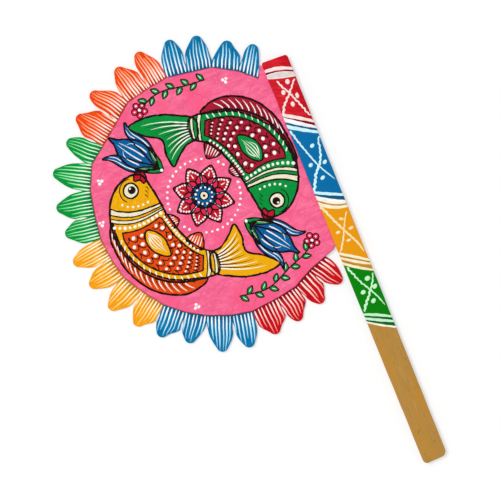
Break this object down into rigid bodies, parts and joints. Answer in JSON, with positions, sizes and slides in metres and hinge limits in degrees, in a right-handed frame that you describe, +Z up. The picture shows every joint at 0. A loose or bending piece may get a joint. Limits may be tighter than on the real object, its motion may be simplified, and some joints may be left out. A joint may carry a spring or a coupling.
{
  "type": "hand fan",
  "caption": "Flag-type hand fan with a round plaited blade, a ring of petals round its edge and a flat slat handle along its side.",
  "frame": {"origin": "middle of the fan's bounding box, on the surface that the fan lies on with its painted face up", "axes": "+Z up, out of the painted face; +Y along the handle to its top end; -X from the handle to the blade"},
  "size_m": [0.2558, 0.4526, 0.006],
  "materials": {
    "bamboo_slat": "bare bamboo at the grip, hand-painted panels above it",
    "bamboo_peg": "bare bamboo",
    "mat_pink": "plaited bamboo splints under pink matt acrylic paint, brushed by hand",
    "petal_blue": "leaf-thin splint under blue matt acrylic paint, brushed by hand",
    "petal_orange": "leaf-thin splint under orange matt acrylic paint, brushed by hand",
    "petal_green": "leaf-thin splint under green matt acrylic paint, brushed by hand",
    "petal_yellow": "leaf-thin splint under yellow matt acrylic paint, brushed by hand",
    "petal_red": "leaf-thin splint under red matt acrylic paint, brushed by hand"
  },
  "bodies": {
    "root": {"handle": "bamboo_slat", "peg_1": "bamboo_peg", "peg_2": "bamboo_peg", "peg_3": "bamboo_peg", "mat_warp_lower_11": "mat_pink", "mat_warp_lower_10": "mat_pink", "mat_warp_lower_9": "mat_pink", "mat_warp_lower_8": "mat_pink", "mat_warp_lower_7": "mat_pink", "mat_warp_lower_6": "mat_pink", "mat_warp_lower_5": "mat_pink", "mat_warp_lower_4": "mat_pink", "mat_warp_lower_3": "mat_pink", "mat_warp_lower_2": "mat_pink", "mat_warp_lower_1": "mat_pink", "mat_warp_middle": "mat_pink", "mat_warp_upper_1": "mat_pink", "mat_warp_upper_2": "mat_pink", "mat_warp_upper_3": "mat_pink", "mat_weft_lower_3": "mat_pink", "mat_weft_lower_2": "mat_pink", "mat_weft_lower_1": "mat_pink", "mat_weft_middle": "mat_pink", "mat_weft_upper_1": "mat_pink", "mat_weft_upper_2": "mat_pink", "mat_weft_upper_3": "mat_pink", "mat_weft_upper_4": "mat_pink", "mat_weft_upper_5": "mat_pink", "mat_weft_upper_6": "mat_pink", "mat_weft_upper_7": "mat_pink", "mat_weft_upper_8": "mat_pink", "mat_weft_upper_9": "mat_pink", "mat_weft_upper_10": "mat_pink", "mat_weft_upper_11": "mat_pink", "petal_01_blue": "petal_blue", "petal_02_blue": "petal_blue", "petal_03_blue": "petal_blue", "petal_04_blue": "petal_blue", "petal_05_orange": "petal_orange", "petal_06_orange": "petal_orange", "petal_07_orange": "petal_orange", "petal_08_orange": "petal_orange", "petal_09_green": "petal_green", "petal_10_green": "petal_green", "petal_11_green": "petal_green", "petal_12_green": "petal_green", "petal_13_yellow": "petal_yellow", "petal_14_yellow": "petal_yellow", "petal_15_yellow": "petal_yellow", "petal_16_yellow": "petal_yellow", "petal_17_blue": "petal_blue", "petal_18_blue": "petal_blue", "petal_19_blue": "petal_blue", "petal_20_blue": "petal_blue", "petal_21_red": "petal_red", "petal_22_red": "petal_red", "petal_23_red": "petal_red", "petal_24_red": "petal_red"}
  },
  "joints": []
}
